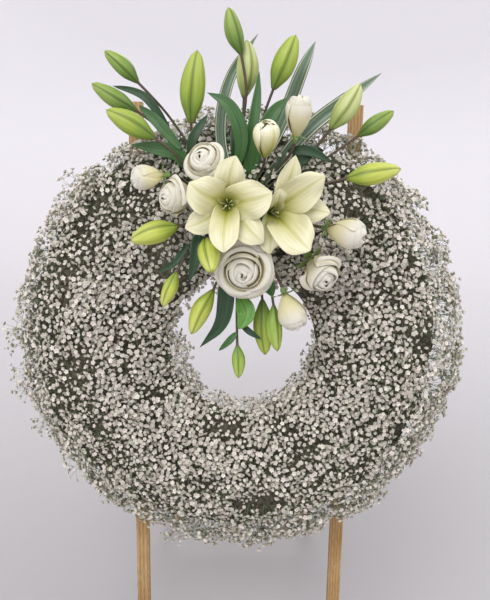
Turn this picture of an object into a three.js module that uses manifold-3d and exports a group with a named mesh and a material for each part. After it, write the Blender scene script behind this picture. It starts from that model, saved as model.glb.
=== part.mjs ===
// A funeral wreath on a plain wooden easel: a ring of gypsophila tied over a straw base,
// with a spray of white lilies, roses and lily buds set in floral foam at the top.
// Millimetres, +Z up. The front faces -Y and the origin is at the middle of the floor.
//
// The wreath leans back with the easel, so it is laid out in its own upright plane first:
// x to the right, z up from the ring's centre, and "forward" for how far a thing stands
// in front of the ring's middle plane. Directions in that plane are clock angles in
// degrees: 0 is up, 90 is right, seen from the front.

import * as THREE from 'three';
import { mergeVertices } from 'three/addons/utils/BufferGeometryUtils.js';
import Module from 'manifold-3d';

const wasm = await Module();
wasm.setup();

// ---- Driving dimensions -------------------------------------------------------------

const LEAN = 10;                  // easel and wreath lean back, degrees
const BATTEN = { width: 25, depth: 20 };
const POST_X = 203;               // each post's middle from the centre line
const POST_TOP = 440;             // above the ring's centre, along the post
const POST_BOTTOM = -880;
const UPPER_RAIL_UP = 325;
const LOWER_RAIL_UP = -700;
const REAR_FOOT_BACK = 510;       // rear feet behind the ring's centre, along the floor
const REAR_RAIL_UP = -690;        // these two from the ring's centre, plumb
const BRACE_UP = -200;
const GAP = 0.4;                  // between pieces that touch

const RING = { radius: 212, halfWidth: 70, halfDepth: 40 };
const WIRE_RADIUS = 1.1;

const FOAM = { x: -10, up: 245, radius: 58, back: 42, front: 100, edge: 6 };

const MASS = {                    // the gypsophila round the ring
  reach: 423, lopsided: 20, lopsidedAt: 305,
  hole: 116, holeShift: 20, holeShiftAt: 31,
  front: 95, frontUnderSpray: 58, back: 37,
};
const BUNCH_GAP = 1.3;            // between two bunches, degrees round the ring
// Each bunch runs from one of these clock angles to the next; the wires lie between them.
const BUNCH_EDGES = [-60, -20, 20, 60, 120, 160, 200, 240, 300];
const TIE_CLOCKS = [60, 120, 240, 300];

const STALK_RADIUS = 2;
const TEPAL_THICKNESS = 3.2;
const LEAF_THICKNESS = 2.4;

// ---- Finishes -----------------------------------------------------------------------

const finish = (color, roughness, metalness = 0) =>
  () => new THREE.MeshStandardMaterial({ color, roughness, metalness });

const pine = finish(0xb79a70, 0.75);
const straw = finish(0x9a7a4a, 0.9);
const wire = finish(0x3c4a3a, 0.45, 0.8);
const foam = finish(0x2f5a3c, 0.95);
const gypsophila = finish(0xd8d5cc, 0.9);
const lilyPetal = finish(0xe9e6c6, 0.5);
const rosePetal = finish(0xece6cc, 0.55);
const budSkin = finish(0x8fa33f, 0.5);
const openingBudSkin = finish(0xe0dba6, 0.5);
const leafGreen = finish(0x35562f, 0.55);
const stripedGreen = finish(0x5d7355, 0.5);

// ---- The wreath's plane ---------------------------------------------------------------

const radians = THREE.MathUtils.degToRad;
const at = (x, up, forward) => new THREE.Vector3(x, -forward, up);
const toward = (clock) => at(Math.sin(radians(clock)), Math.cos(radians(clock)), 0);

// A direction that points to a clock angle and nods to the front by some degrees.
function facing(clock, nod) {
  const flat = toward(clock).multiplyScalar(Math.cos(radians(nod)));
  return flat.add(at(0, 0, Math.sin(radians(nod))));
}

const fromFoam = (clock, reach, forward) =>
  at(FOAM.x, FOAM.up, forward).addScaledVector(toward(clock), reach);

// ---- Solids ---------------------------------------------------------------------------

function closed(geometry) {
  geometry.deleteAttribute('normal');
  geometry.deleteAttribute('uv');
  return mergeVertices(geometry, 1e-3);
}

function toManifold(geometry) {
  const vertProperties = Float32Array.from(geometry.attributes.position.array);
  const triVerts = Uint32Array.from(geometry.index.array);
  return new wasm.Manifold(new wasm.Mesh({ numProp: 3, vertProperties, triVerts }));
}

function toGeometry(solid) {
  const { vertProperties, triVerts } = solid.getMesh();
  const geometry = new THREE.BufferGeometry();
  geometry.setAttribute('position', new THREE.BufferAttribute(vertProperties, 3));
  geometry.setIndex(new THREE.BufferAttribute(triVerts, 1));
  return geometry;
}

const joined = (geometries) =>
  toGeometry(geometries.map(toManifold).reduce((whole, piece) => whole.add(piece)));

// Moves every vertex of a geometry by one rule.
function reshaped(geometry, rule) {
  const position = geometry.attributes.position;
  const vertex = new THREE.Vector3();
  for (let i = 0; i < position.count; i += 1) {
    vertex.fromBufferAttribute(position, i);
    position.setXYZ(i, ...rule(vertex).toArray());
  }
  return closed(geometry);
}

// A round or flattened form swept along a path: a stalk, a bud, a petal or a leaf.
// path(t), halfWidth(t) and halfDepth(t) run with t from 0 at the root to 1 at the tip,
// and the flat side looks along `outlook`.
function grown({ path, halfWidth, halfDepth = halfWidth, outlook, sides = 8, steps = 10 }) {
  const disc = new THREE.Shape().absarc(0, 0, 1, 0, 2 * Math.PI);
  const bar = new THREE.ExtrudeGeometry(disc, {
    depth: 1, steps, curveSegments: sides / 2, bevelEnabled: false,
  });
  const step = 0.01;
  return reshaped(bar, ({ x, y, z: t }) => {
    const before = path(Math.max(0, t - step));
    const along = path(Math.min(1, t + step)).sub(before).normalize();
    const across = new THREE.Vector3().crossVectors(outlook, along).normalize();
    const out = new THREE.Vector3().crossVectors(along, across);
    return path(t)
      .addScaledVector(across, x * halfWidth(t))
      .addScaledVector(out, y * halfDepth(t));
  });
}

// Reads a value off a short list of [place, value] points, straight between them.
function profile(points) {
  return (t) => {
    const next = Math.max(1, points.findIndex(([place]) => place >= t));
    const [a, low] = points[next - 1];
    const [b, high] = points[next];
    return low + (high - low) * THREE.MathUtils.clamp((t - a) / (b - a), 0, 1);
  };
}

// ---- Stalks ---------------------------------------------------------------------------

// Where a stalk leaves the foam: out of its round wall, or out of its front face.
const fromWall = (clock, forward, standOff = GAP) => ({
  start: fromFoam(clock, FOAM.radius + standOff, forward),
  heading: toward(clock),
});
const fromFront = (clock, reach) => ({
  start: fromFoam(clock, reach, FOAM.front + GAP),
  heading: at(0, 0, 1),
});

// A stalk's path, leaving the foam square and arriving along the head it carries.
function stalkCurve(root, end, arrival, bend = 0.4) {
  const span = root.start.distanceTo(end) * bend;
  return new THREE.CubicBezierCurve3(
    root.start,
    root.start.clone().addScaledVector(root.heading, span),
    end.clone().addScaledVector(arrival, -span),
    end,
  );
}

// Stalk and head as one path; the first `share` of t is the stalk.
function stalkAndHead(root, base, aim, length, share) {
  const stalk = stalkCurve(root, base, aim);
  return (t) => (t < share
    ? stalk.getPoint(t / share)
    : base.clone().addScaledVector(aim, length * (t - share) / (1 - share)));
}

const STALK_SHARE = 0.4;
const onHead = (place) => STALK_SHARE + (1 - STALK_SHARE) * place;

// A closed lily bud: a slender six-ribbed spindle on its stalk.
function lilyBud({ root, base, swing, nod = 8, length, girth }) {
  const aim = facing(swing, nod);
  const half = girth / 2;
  return grown({
    path: stalkAndHead(root, base, aim, length, STALK_SHARE),
    halfWidth: profile([
      [0, STALK_RADIUS], [onHead(0), STALK_RADIUS + 0.6], [onHead(0.17), half * 0.62],
      [onHead(0.33), half * 0.93], [onHead(0.5), half], [onHead(0.67), half * 0.86],
      [onHead(0.83), half * 0.56], [1, half * 0.12],
    ]),
    outlook: at(0.2, 0.1, 1).normalize(),
    sides: 6,
    steps: 10,
  });
}

// A rose or an opening bud: calyx, swelling cup and the blunt top of its petals.
function flowerCup({ root, base, swing, nod, length, girth, shape, sides = 8 }) {
  const aim = facing(swing, nod);
  const rim = shape.map(([place, size]) => [onHead(place), size * girth / 2]);
  return grown({
    path: stalkAndHead(root, base, aim, length, STALK_SHARE),
    halfWidth: profile([[0, STALK_RADIUS + 0.5], ...rim]),
    outlook: Math.abs(aim.y) > 0.8 ? at(0, 1, 0) : at(0, 0, 1),
    sides,
    steps: 10,
  });
}

const ROSE_BUD = [[0, 0.14], [0.17, 0.62], [0.33, 0.9], [0.5, 1], [0.67, 0.94], [0.83, 0.72], [1, 0.4]];
const ROSE_OPEN = [[0, 0.1], [0.17, 0.5], [0.33, 0.84], [0.5, 1], [0.67, 1], [0.83, 0.88], [1, 0.55]];
const LILY_OPENING = [[0, 0.16], [0.17, 0.5], [0.33, 0.74], [0.5, 0.92], [0.67, 1], [0.83, 0.86], [1, 0.5]];

// A leaf or a blade: a thin lens in section, narrow at its foot and pointed at its tip.
function leaf({ start, through, tip, width, outlook = at(0, 0, 1), steps = 8, foot = 0.3 }) {
  const midrib = new THREE.CatmullRomCurve3([start, ...through, tip]);
  return grown({
    path: (t) => midrib.getPoint(t),
    halfWidth: profile([
      [0, width * foot / 2], [0.25, width * 0.42], [0.5, width * 0.5],
      [0.75, width * 0.4], [0.9, width * 0.22], [1, width * 0.06],
    ]),
    halfDepth: profile([[0, LEAF_THICKNESS / 2], [1, LEAF_THICKNESS / 4]]),
    outlook,
    sides: 6,
    steps,
  });
}

// An open lily: six tepals flaring from one throat, and a short stalk.
// Each tepal's tip is given by its clock angle, reach and height round the throat.
function lily({ root, throat, axis, tepals }) {
  const [x, up, forward] = throat;
  const heart = at(x, up, forward);
  const stalk = stalkCurve(root, heart, axis);
  const parts = [grown({
    path: (t) => stalk.getPoint(t),
    halfWidth: profile([[0, STALK_RADIUS + 1], [0.5, STALK_RADIUS + 1], [1, 8]]),
    outlook: at(0, 1, 0),
    sides: 6,
    steps: 4,
  })];
  for (const { clock, reach, height, width } of tepals) {
    const outward = toward(clock);
    const tip = at(x, up, height).addScaledVector(outward, reach);
    const curve = new THREE.CubicBezierCurve3(
      heart.clone().addScaledVector(axis, -3),
      heart.clone().addScaledVector(axis, 34).addScaledVector(outward, 10),
      tip.clone().addScaledVector(outward, -0.45 * reach).addScaledVector(axis, 8),
      tip,
    );
    parts.push(grown({
      path: (t) => curve.getPoint(t),
      halfWidth: profile([
        [0, 6], [0.17, width * 0.24], [0.33, width * 0.4], [0.5, width * 0.5],
        [0.67, width * 0.5], [0.83, width * 0.34], [1, width * 0.05],
      ]),
      halfDepth: profile([[0, TEPAL_THICKNESS / 2], [1, TEPAL_THICKNESS / 3]]),
      outlook: axis.clone().addScaledVector(outward, -0.8).normalize(),
      sides: 6,
      steps: 6,
    }));
  }
  return joined(parts);
}

// ---- Ring, wires, foam and gypsophila ---------------------------------------------------

function ringSolid(clearance) {
  const sides = 12;
  const section = [];
  for (let i = 0; i <= sides; i += 1) {
    const angle = (i / sides) * 2 * Math.PI;
    section.push(new THREE.Vector2(
      RING.radius + (RING.halfWidth + clearance) * Math.cos(angle),
      (RING.halfDepth + clearance) * Math.sin(angle),
    ));
  }
  return closed(new THREE.LatheGeometry(section, 36));
}

// A wire that goes once round the ring and a post, with its two ends bent out behind.
function wireTie(clock) {
  const postBack = -(RING.halfDepth + GAP + BATTEN.depth);
  const crossing = POST_X / Math.abs(Math.sin(radians(clock)));
  const halfPost = BATTEN.width / 2 / Math.abs(Math.sin(radians(clock)));
  const loose = WIRE_RADIUS + GAP;
  const corner = loose + 2.4;
  const spot = (radius, forward) => at(0, 0, forward).addScaledVector(toward(clock), radius);
  const points = [
    spot(crossing - 2.5, postBack - 14),
    spot(crossing - 3.5, postBack - 4),
    spot(crossing - halfPost - corner, postBack - loose),
  ];
  for (let angle = 230; angle >= -50; angle -= 28) {
    points.push(spot(
      RING.radius + (RING.halfWidth + 3 + loose) * Math.cos(radians(angle)),
      (RING.halfDepth + 2 + loose) * Math.sin(radians(angle)),
    ));
  }
  points.push(
    spot(crossing + halfPost + corner, postBack - loose),
    spot(crossing + 3.5, postBack - 4),
    spot(crossing + 2.5, postBack - 14),
  );
  const section = new THREE.Shape().absarc(0, 0, WIRE_RADIUS, 0, 2 * Math.PI);
  return closed(new THREE.ExtrudeGeometry(section, {
    extrudePath: new THREE.CatmullRomCurve3(points, false, 'centripetal'),
    steps: 30,
    curveSegments: 2,
  }));
}

function foamSolid(clearance) {
  const { radius, back, front, edge } = FOAM;
  const section = [
    [0, front + clearance], [radius + clearance - edge, front + clearance],
    [radius + clearance, front - edge], [radius + clearance, back - clearance],
    [0, back - clearance],
  ].map(([r, forward]) => new THREE.Vector2(r, forward));
  const drum = new THREE.LatheGeometry(section, 24);
  return reshaped(drum, ({ x, y: forward, z }) => at(FOAM.x + x, FOAM.up + z, forward));
}

// How far the gypsophila reaches at a clock angle, and how much it gives way to the spray.
const outerReach = (clock) =>
  MASS.reach + MASS.lopsided * Math.cos(radians(clock - MASS.lopsidedAt));
const holeReach = (clock) =>
  MASS.hole + MASS.holeShift * Math.cos(radians(clock - MASS.holeShiftAt));
function frontHeight(clock) {
  const fromTop = Math.abs(THREE.MathUtils.euclideanModulo(clock + 180, 360) - 180);
  const clear = THREE.MathUtils.smoothstep(fromTop, 45, 80);
  return THREE.MathUtils.lerp(MASS.frontUnderSpray, MASS.front, clear);
}

// One bunch: a straight bar of the mass's section, bent round the ring's centre.
function bunch(from, to) {
  const sides = 16;
  const section = new THREE.Shape();
  for (let i = 0; i < sides; i += 1) {
    const angle = (i / sides) * 2 * Math.PI;
    const lift = Math.sin(angle);
    const point = [Math.cos(angle), Math.sign(lift) * Math.abs(lift) ** 0.75];
    section[i ? 'lineTo' : 'moveTo'](...point);
  }
  section.closePath();
  const bar = new THREE.ExtrudeGeometry(section, { depth: 1, steps: 4, bevelEnabled: false });
  const body = reshaped(bar, ({ x: across, y: lift, z: t }) => {
    const clock = from + BUNCH_GAP / 2 + (to - from - BUNCH_GAP) * t;
    const inner = holeReach(clock);
    const radius = inner + (outerReach(clock) - inner) * (across + 1) / 2;
    const forward = lift * (lift > 0 ? frontHeight(clock) : MASS.back);
    return at(0, 0, forward).addScaledVector(toward(clock), radius);
  });
  const hollow = ringSolid(GAP);
  return toGeometry(toManifold(body).subtract(toManifold(hollow)).subtract(
    toManifold(foamSolid(1)),
  ));
}

// ---- Assembly ---------------------------------------------------------------------------

const group = new THREE.Group();
const leaning = new THREE.Group();
leaning.rotation.x = -radians(LEAN);
group.add(leaning);

function add(name, geometry, material, parent = leaning) {
  const mesh = new THREE.Mesh(geometry, material());
  mesh.name = name;
  parent.add(mesh);
  return mesh;
}

// Easel. Posts stand behind the ring; their feet are cut level with the floor.
const postFront = RING.halfDepth + GAP;
const postBack = postFront + BATTEN.depth;
const fall = Math.tan(radians(LEAN));

function post(x) {
  const side = new THREE.Shape([
    new THREE.Vector2(postFront, POST_BOTTOM + postFront * fall),
    new THREE.Vector2(postBack, POST_BOTTOM + postBack * fall),
    new THREE.Vector2(postBack, POST_TOP),
    new THREE.Vector2(postFront, POST_TOP),
  ]);
  const bar = new THREE.ExtrudeGeometry(side, { depth: BATTEN.width, bevelEnabled: false });
  return reshaped(bar, ({ x: y, y: z, z: thick }) =>
    new THREE.Vector3(x - BATTEN.width / 2 + thick, y, z));
}
add('left_post', post(-POST_X), pine);
add('right_post', post(POST_X), pine);

const railLength = 2 * POST_X + BATTEN.width;
for (const [name, up] of [['upper_rail', UPPER_RAIL_UP], ['lower_rail', LOWER_RAIL_UP]]) {
  const box = new THREE.BoxGeometry(railLength, BATTEN.depth, BATTEN.width);
  add(name, closed(box), pine).position.set(0, postBack + GAP + BATTEN.depth / 2, up);
}

// The rear legs and what ties them stand outside the leaning group, in floor directions.
// Behind each post a leg slants back from the upper rail, and a brace holds the two apart.
const floor = POST_BOTTOM * Math.cos(radians(LEAN));
const toFloor = (y, z) => new THREE.Vector3(0, y, z)
  .applyAxisAngle(new THREE.Vector3(1, 0, 0), -radians(LEAN));
const legHead = toFloor(postBack + 2 * GAP + BATTEN.depth, UPPER_RAIL_UP + BATTEN.width / 2);
const legRun = (REAR_FOOT_BACK - legHead.y) / (legHead.z - floor);
const legDepth = BATTEN.depth * Math.hypot(1, legRun);
const legFront = (z) => legHead.y + (legHead.z - z) * legRun;
const postRear = (z) => postBack / Math.cos(radians(LEAN)) + z * fall;

function sideCut(points, width, x) {
  const side = new THREE.Shape(points.map(([y, z]) => new THREE.Vector2(y, z)));
  const bar = new THREE.ExtrudeGeometry(side, { depth: width, bevelEnabled: false });
  return reshaped(bar, ({ x: y, y: z, z: thick }) =>
    new THREE.Vector3(x - width / 2 + thick, y, z));
}

for (const [side, x] of [['left', -POST_X], ['right', POST_X]]) {
  add(`${side}_rear_leg`, sideCut([
    [legHead.y, legHead.z], [REAR_FOOT_BACK, floor],
    [REAR_FOOT_BACK + legDepth, floor], [legHead.y + legDepth, legHead.z],
  ], BATTEN.width, x), pine, group);
  const low = BRACE_UP - BATTEN.width / 2;
  const high = BRACE_UP + BATTEN.width / 2;
  add(`${side}_brace`, sideCut([
    [postRear(low) + GAP, low], [legFront(low) - GAP, low],
    [legFront(high) - GAP, high], [postRear(high) + GAP, high],
  ], BATTEN.width, x), pine, group);
}
const legTilt = Math.atan(legRun);
const rearBar = new THREE.BoxGeometry(railLength, BATTEN.depth, BATTEN.width);
const rearRail = add('rear_rail', closed(rearBar), pine, group);
rearRail.rotation.x = legTilt;
rearRail.position.set(
  0, legFront(REAR_RAIL_UP) - (BATTEN.depth / 2 + GAP) / Math.cos(legTilt), REAR_RAIL_UP,
);

// Base ring, its wires and the foam.
add('straw_ring', ringSolid(0), straw);
TIE_CLOCKS.forEach((clock, i) => add(`wire_tie_${i + 1}`, wireTie(clock), wire));
add('foam_block', foamSolid(0), foam);

BUNCH_EDGES.slice(0, -1).forEach((from, i) => {
  add(`gypsophila_bunch_${i + 1}`, bunch(from, BUNCH_EDGES[i + 1]), gypsophila);
});

// Lilies.
add('lily_left', lily({
  root: fromFront(300, 12),
  throat: [-26, 263, 122],
  axis: facing(0, 88),
  tepals: [
    { clock: 10, reach: 78, height: 178, width: 46 },
    { clock: 72, reach: 73, height: 200, width: 56 },
    { clock: 134, reach: 82, height: 184, width: 46 },
    { clock: 182, reach: 70, height: 214, width: 42 },
    { clock: 242, reach: 76, height: 172, width: 42 },
    { clock: 302, reach: 68, height: 192, width: 56 },
  ],
}), lilyPetal);

add('lily_right', lily({
  root: fromFront(80, 42),
  throat: [39, 251, 122],
  axis: facing(75, 62),
  tepals: [
    { clock: 23, reach: 99, height: 176, width: 32 },
    { clock: 54, reach: 102, height: 208, width: 50 },
    { clock: 88, reach: 96, height: 180, width: 42 },
    { clock: 129, reach: 81, height: 222, width: 56 },
    { clock: 176, reach: 64, height: 170, width: 40 },
    { clock: 22, reach: 44, height: 178, width: 22 },
  ],
}), lilyPetal);

// An opening lily bud, standing up out of the spray.
add('lily_opening', flowerCup({
  root: fromWall(26, 92), base: at(32, 338, 128), swing: 2, nod: 32, length: 62, girth: 44,
  shape: LILY_OPENING,
}), openingBudSkin);

// Roses, clockwise from the top left.
const ROSES = [
  ['rose_far_left', fromWall(-66, 92), at(-128, 308, 132), 262, 12, 54, 42, ROSE_BUD],
  ['rose_upper_left', fromFront(-30, 36), at(-50, 318, 118), -40, 55, 52, 62, ROSE_OPEN],
  ['rose_left', fromFront(-75, 34), at(-84, 276, 116), 268, 38, 56, 62, ROSE_OPEN],
  ['rose_upper_right', fromWall(36, 92), at(81, 370, 118), 4, 14, 68, 42, ROSE_BUD],
  ['rose_right', fromWall(97, 90), at(134, 228, 142), 100, 26, 66, 50, ROSE_BUD],
  ['rose_lower_right', fromWall(120, 92), at(112, 176, 126), 142, 48, 60, 64, ROSE_OPEN],
  ['rose_hanging', fromWall(147, 92), at(68, 122, 142), 159, 14, 66, 48, ROSE_BUD],
  ['rose_open', fromFront(168, 32), at(4, 168, 120), 192, 80, 58, 92, ROSE_OPEN],
];
for (const [name, root, base, swing, nod, length, girth, shape] of ROSES) {
  add(name, flowerCup({ root, base, swing, nod, length, girth, shape }), rosePetal);
}

// Lily buds, clockwise from the top: where each stalk leaves the foam, where the bud
// starts, where it points, how long and how thick it is.
const BUDS = [
  [fromWall(-2, 92), at(-8, 498, 99), -17, 72, 28],
  [fromWall(3, 72), at(-3, 436, 68), 2, 90, 36],
  [fromWall(15, 84), at(44, 446, 100), 22, 88, 37],
  [fromWall(47, 80), at(139, 386, 92), 32, 84, 36],
  [fromWall(58, 84), at(185, 376, 92), 54, 68, 26],
  [fromWall(71, 92), at(162, 307, 136), 79, 86, 34],
  [fromWall(157, 84), at(52, 97, 124), 174, 78, 27],
  [fromWall(164, 72), at(34, 100, 92), 176, 96, 34],
  [fromWall(180, 84), at(-8, 24, 110), 177, 58, 23],
  [fromWall(198, 80), at(-50, 119, 110), 206, 84, 32],
  [fromWall(229, 84), at(-109, 152, 130), 202, 62, 24],
  [fromFront(232, 42), at(-60, 210, 148), 165, 78, 34],
  [fromWall(258, 90), at(-106, 227, 136), 253, 80, 37],
  [fromWall(-53, 92), at(-145, 366, 116), -61, 86, 35],
  [fromWall(-46, 82), at(-177, 410, 90), -60, 82, 29],
  [fromWall(-38, 74), at(-175, 455, 86), -48, 70, 27],
  [fromWall(-27, 84), at(-88, 391, 100), 6, 112, 40],
];
const NODS = { 12: 52 };          // this one looks out at the viewer
BUDS.forEach(([root, base, swing, length, girth], i) => {
  const nod = NODS[i + 1];
  const bud = lilyBud({ root, base, swing, nod, length, girth });
  add(`lily_bud_${String(i + 1).padStart(2, '0')}`, bud, budSkin);
});

// Striped blades, the lowest layer of the spray's top.
const BLADES = [
  ['striped_blade_left', fromWall(-13, 62), [at(-42, 380, 60), at(-26, 470, 54)], at(20, 542, 50), 22],
  ['striped_blade_middle', fromWall(24, 62), [at(62, 400, 62), at(92, 480, 62)], at(114, 530, 56), 26],
  ['striped_blade_right', fromWall(38, 62), [at(104, 386, 64), at(160, 432, 62)], at(226, 481, 58), 28],
];
for (const [name, root, through, tip, width] of BLADES) {
  const blade = leaf({ start: root.start, through, tip, width, foot: 0.5 });
  add(name, blade, stripedGreen);
}

// Lily leaves.
const LEAVES = [
  ['leaf_upper_left', fromWall(-8, 96), [at(-6, 372, 114), at(-28, 420, 118)], at(-62, 438, 112), 26],
  ['leaf_upper_middle', fromWall(9, 94), [at(10, 372, 108), at(18, 430, 104)], at(21, 474, 100), 20],
  ['leaf_upper_right', fromWall(18, 96), [at(30, 380, 118), at(48, 412, 120)], at(66, 432, 114), 26],
  ['leaf_far_left', fromWall(-62, 80, 2), [at(-110, 342, 96), at(-150, 352, 100)], at(-188, 356, 100), 26],
  ['leaf_lower_left', fromWall(236, 92, 2), [at(-74, 204, 116), at(-80, 168, 126)], at(-90, 132, 124), 24],
  ['leaf_hanging', fromWall(190, 88), [at(-27, 124, 100), at(-36, 62, 104)], at(-74, 14, 96), 32],
];
for (const [name, root, through, tip, width] of LEAVES) {
  add(name, leaf({ start: root.start, through, tip, width }), leafGreen);
}

// The origin goes to the middle of the floor under the whole object.
group.updateMatrixWorld(true);
const box = new THREE.Box3().setFromObject(group, true);
const middle = box.getCenter(new THREE.Vector3());
group.position.set(-middle.x, -middle.y, -box.min.z);

export default group;
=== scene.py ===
"""The looks of a funeral wreath on a pine easel: gypsophila bound over a straw ring,
with a spray of lilies, roses, lily buds and leaves standing in floral foam at its top."""

import math
import random

import bmesh
import bpy
from mathutils import Matrix, Vector, noise
from mathutils.bvhtree import BVHTree


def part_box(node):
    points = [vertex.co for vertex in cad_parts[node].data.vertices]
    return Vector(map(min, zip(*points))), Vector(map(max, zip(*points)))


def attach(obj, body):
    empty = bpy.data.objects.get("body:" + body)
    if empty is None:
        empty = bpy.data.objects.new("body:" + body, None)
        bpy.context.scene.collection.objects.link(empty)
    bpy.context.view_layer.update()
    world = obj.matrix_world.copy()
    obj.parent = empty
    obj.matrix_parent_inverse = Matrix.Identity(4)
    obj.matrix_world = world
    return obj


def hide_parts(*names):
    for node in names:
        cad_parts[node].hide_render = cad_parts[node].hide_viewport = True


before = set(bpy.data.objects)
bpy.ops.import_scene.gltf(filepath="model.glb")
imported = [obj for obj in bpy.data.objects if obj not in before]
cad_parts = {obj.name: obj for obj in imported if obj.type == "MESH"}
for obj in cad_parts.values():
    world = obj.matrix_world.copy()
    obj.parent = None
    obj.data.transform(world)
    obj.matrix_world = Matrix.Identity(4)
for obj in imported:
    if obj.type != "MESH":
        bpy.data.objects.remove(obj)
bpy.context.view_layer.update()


# ---- The wreath's plane and the camera -----------------------------------------------
# The wreath leans back with its easel, so its flowers are laid out in its own plane:
# x to the right, up along the lean, and forward out of the ring, all in millimetres.

LEAN = math.radians(10)
MM = 0.001
ring_low, ring_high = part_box("straw_ring")
WREATH = (Matrix.Translation((ring_low + ring_high) / 2)
          @ Matrix.Rotation(-LEAN, 4, "X") @ Matrix.Diagonal((MM, MM, MM, 1)))
TO_WREATH = WREATH.inverted()


def at(x, up, forward=0.0):
    return WREATH @ Vector((x, -forward, up))


FORWARD = (at(0, 0, 1) - at(0, 0, 0)).normalized()
UPWARD = (at(0, 1, 0) - at(0, 0, 0)).normalized()


def clock(angle, nod=0.0):
    """A direction by its clock angle in the wreath's plane, nodding to the front."""
    turn, dip = math.radians(angle), math.radians(nod)
    flat = Vector((math.sin(turn), 0, 0)) + UPWARD * math.cos(turn)
    return flat * math.cos(dip) + FORWARD * math.sin(dip)


VIEWPOINT = Vector((0.004, -1.0715, 0.4968))      # from the ring's middle
VIEW_DOWN, VIEW_ROLL = math.radians(21), math.radians(0.9)
lens = bpy.data.cameras.new("camera")
lens.sensor_fit = "VERTICAL"
lens.sensor_height = 36
lens.lens = 37.2
camera = bpy.data.objects.new("camera", lens)
camera.matrix_world = (Matrix.Translation(at(0, 0, 0) + VIEWPOINT)
                       @ Matrix.Rotation(math.pi / 2 - VIEW_DOWN, 4, "X")
                       @ Matrix.Rotation(VIEW_ROLL, 4, "Z"))
bpy.context.scene.collection.objects.link(camera)
bpy.context.scene.camera = camera
bpy.context.scene.view_settings.view_transform = "Standard"


# ---- Studio --------------------------------------------------------------------------
# A seamless pale sweep stands all round, under large soft lamps and an even sky.

def colour(code):
    """The linear colour of an sRGB hex value."""
    parts = [int(code[i:i + 2], 16) / 255 for i in (0, 2, 4)]
    return (*[c / 12.92 if c <= 0.04045 else ((c + 0.055) / 1.055) ** 2.4 for c in parts], 1)


def node(tree, kind, inputs=None, stops=None, **settings):
    """Adds a shader node: settings are its properties, inputs are values or links."""
    made = tree.nodes.new("ShaderNode" + kind)
    for name, value in settings.items():
        setattr(made, name, value)
    for name, value in (inputs or {}).items():
        if isinstance(value, bpy.types.NodeSocket):
            tree.links.new(value, made.inputs[name])
        else:
            made.inputs[name].default_value = value
    if stops:
        marks = made.color_ramp.elements
        marks[0].position, marks[1].position = stops[0][0], stops[-1][0]
        for place, _ in stops[1:-1]:
            marks.new(place)
        for mark, (_, shade) in zip(marks, stops):
            mark.color = colour(shade)
    return made


def material(name, roughness=0.5, specular=0.5):
    made = bpy.data.materials.new(name)
    made.use_nodes = True
    shader = made.node_tree.nodes["Principled BSDF"]
    shader.inputs["Roughness"].default_value = roughness
    shader.inputs["Specular IOR Level"].default_value = specular
    return made, made.node_tree, shader


def finished(name, shape, finish=None, smooth=True):
    """Makes a mesh object of a bmesh, at the origin, and frees the bmesh."""
    mesh = bpy.data.meshes.new(name)
    shape.to_mesh(mesh)
    shape.free()
    if smooth:
        mesh.shade_smooth()
    if finish:
        mesh.materials.append(finish)
    made = bpy.data.objects.new(name, mesh)
    bpy.context.scene.collection.objects.link(made)
    return made


SWEEP_RADIUS, SWEEP_CURVE, SWEEP_HEIGHT = 4.4, 1.6, 4.2
sweep_paint_and_shade, tree, shader = material("matt_wall_paint_and_painted_shade", roughness=0.9, specular=0.1)
# painted shade: the floor is greyer near the easel, standing in for the shade around it, and lightens
# towards the wall
place = node(tree, "Mapping", {"Vector": node(tree, "TexCoord").outputs["Object"],
                               "Scale": (0.2, 0.2, 0.2)})
distance = node(tree, "VectorMath", {0: place.outputs[0]}, operation="LENGTH")
shade = node(tree, "ValToRGB", {"Fac": distance.outputs["Value"]}, stops=[
    (0.04, "ACAAAB"), (0.3, "C6C4C6"), (0.85, "F3F1F4")])
tree.links.new(shade.outputs[0], shader.inputs["Base Color"])
sweep = bmesh.new()
corner = [(SWEEP_RADIUS - SWEEP_CURVE + SWEEP_CURVE * math.sin(a),
           SWEEP_CURVE - SWEEP_CURVE * math.cos(a))
          for a in (i * math.pi / 24 for i in range(13))]
outline = [sweep.verts.new((r, 0, z)) for r, z in [(0, 0), *corner, (SWEEP_RADIUS, SWEEP_HEIGHT)]]
edges = [sweep.edges.new(pair) for pair in zip(outline, outline[1:])]
bmesh.ops.spin(sweep, geom=outline + edges, axis=(0, 0, 1), cent=(0, 0, 0),
               steps=96, angle=2 * math.pi, use_merge=True)
bmesh.ops.remove_doubles(sweep, verts=sweep.verts, dist=1e-4)
bmesh.ops.recalc_face_normals(sweep, faces=sweep.faces)
bmesh.ops.reverse_faces(sweep, faces=sweep.faces)
finished("studio_sweep", sweep, sweep_paint_and_shade)

# Each lamp: where it hangs, how wide it is, its power in watts.
LAMPS = [((-0.9, -2.4, 3.3), 2.4, 66), ((2.2, -0.9, 3.2), 1.8, 24), ((0.3, 2.6, 3.3), 2.2, 44)]
for i, (place, width, power) in enumerate(LAMPS):
    lamp = bpy.data.lights.new(f"soft_lamp_{i + 1}", "AREA")
    lamp.shape, lamp.size, lamp.energy = "DISK", width, power
    holder = bpy.data.objects.new(lamp.name, lamp)
    aim = at(0, 0, 0) - Vector(place)
    holder.matrix_world = Matrix.Translation(place) @ aim.to_track_quat("-Z", "Y").to_matrix().to_4x4()
    holder.visible_camera = False
    bpy.context.scene.collection.objects.link(holder)
sky = bpy.data.worlds.new("even_sky")
sky.use_nodes = True
sky.node_tree.nodes["Background"].inputs["Color"].default_value = colour("F4F3F6")
sky.node_tree.nodes["Background"].inputs["Strength"].default_value = 0.75
bpy.context.scene.world = sky


# ---- Easel battens -------------------------------------------------------------------
# Nine sawn and planed pine battens, 25 by 20 mm, nailed together. Pine is pale gold with
# darker growth lines along each batten and a matt, slightly fuzzy face.

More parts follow.
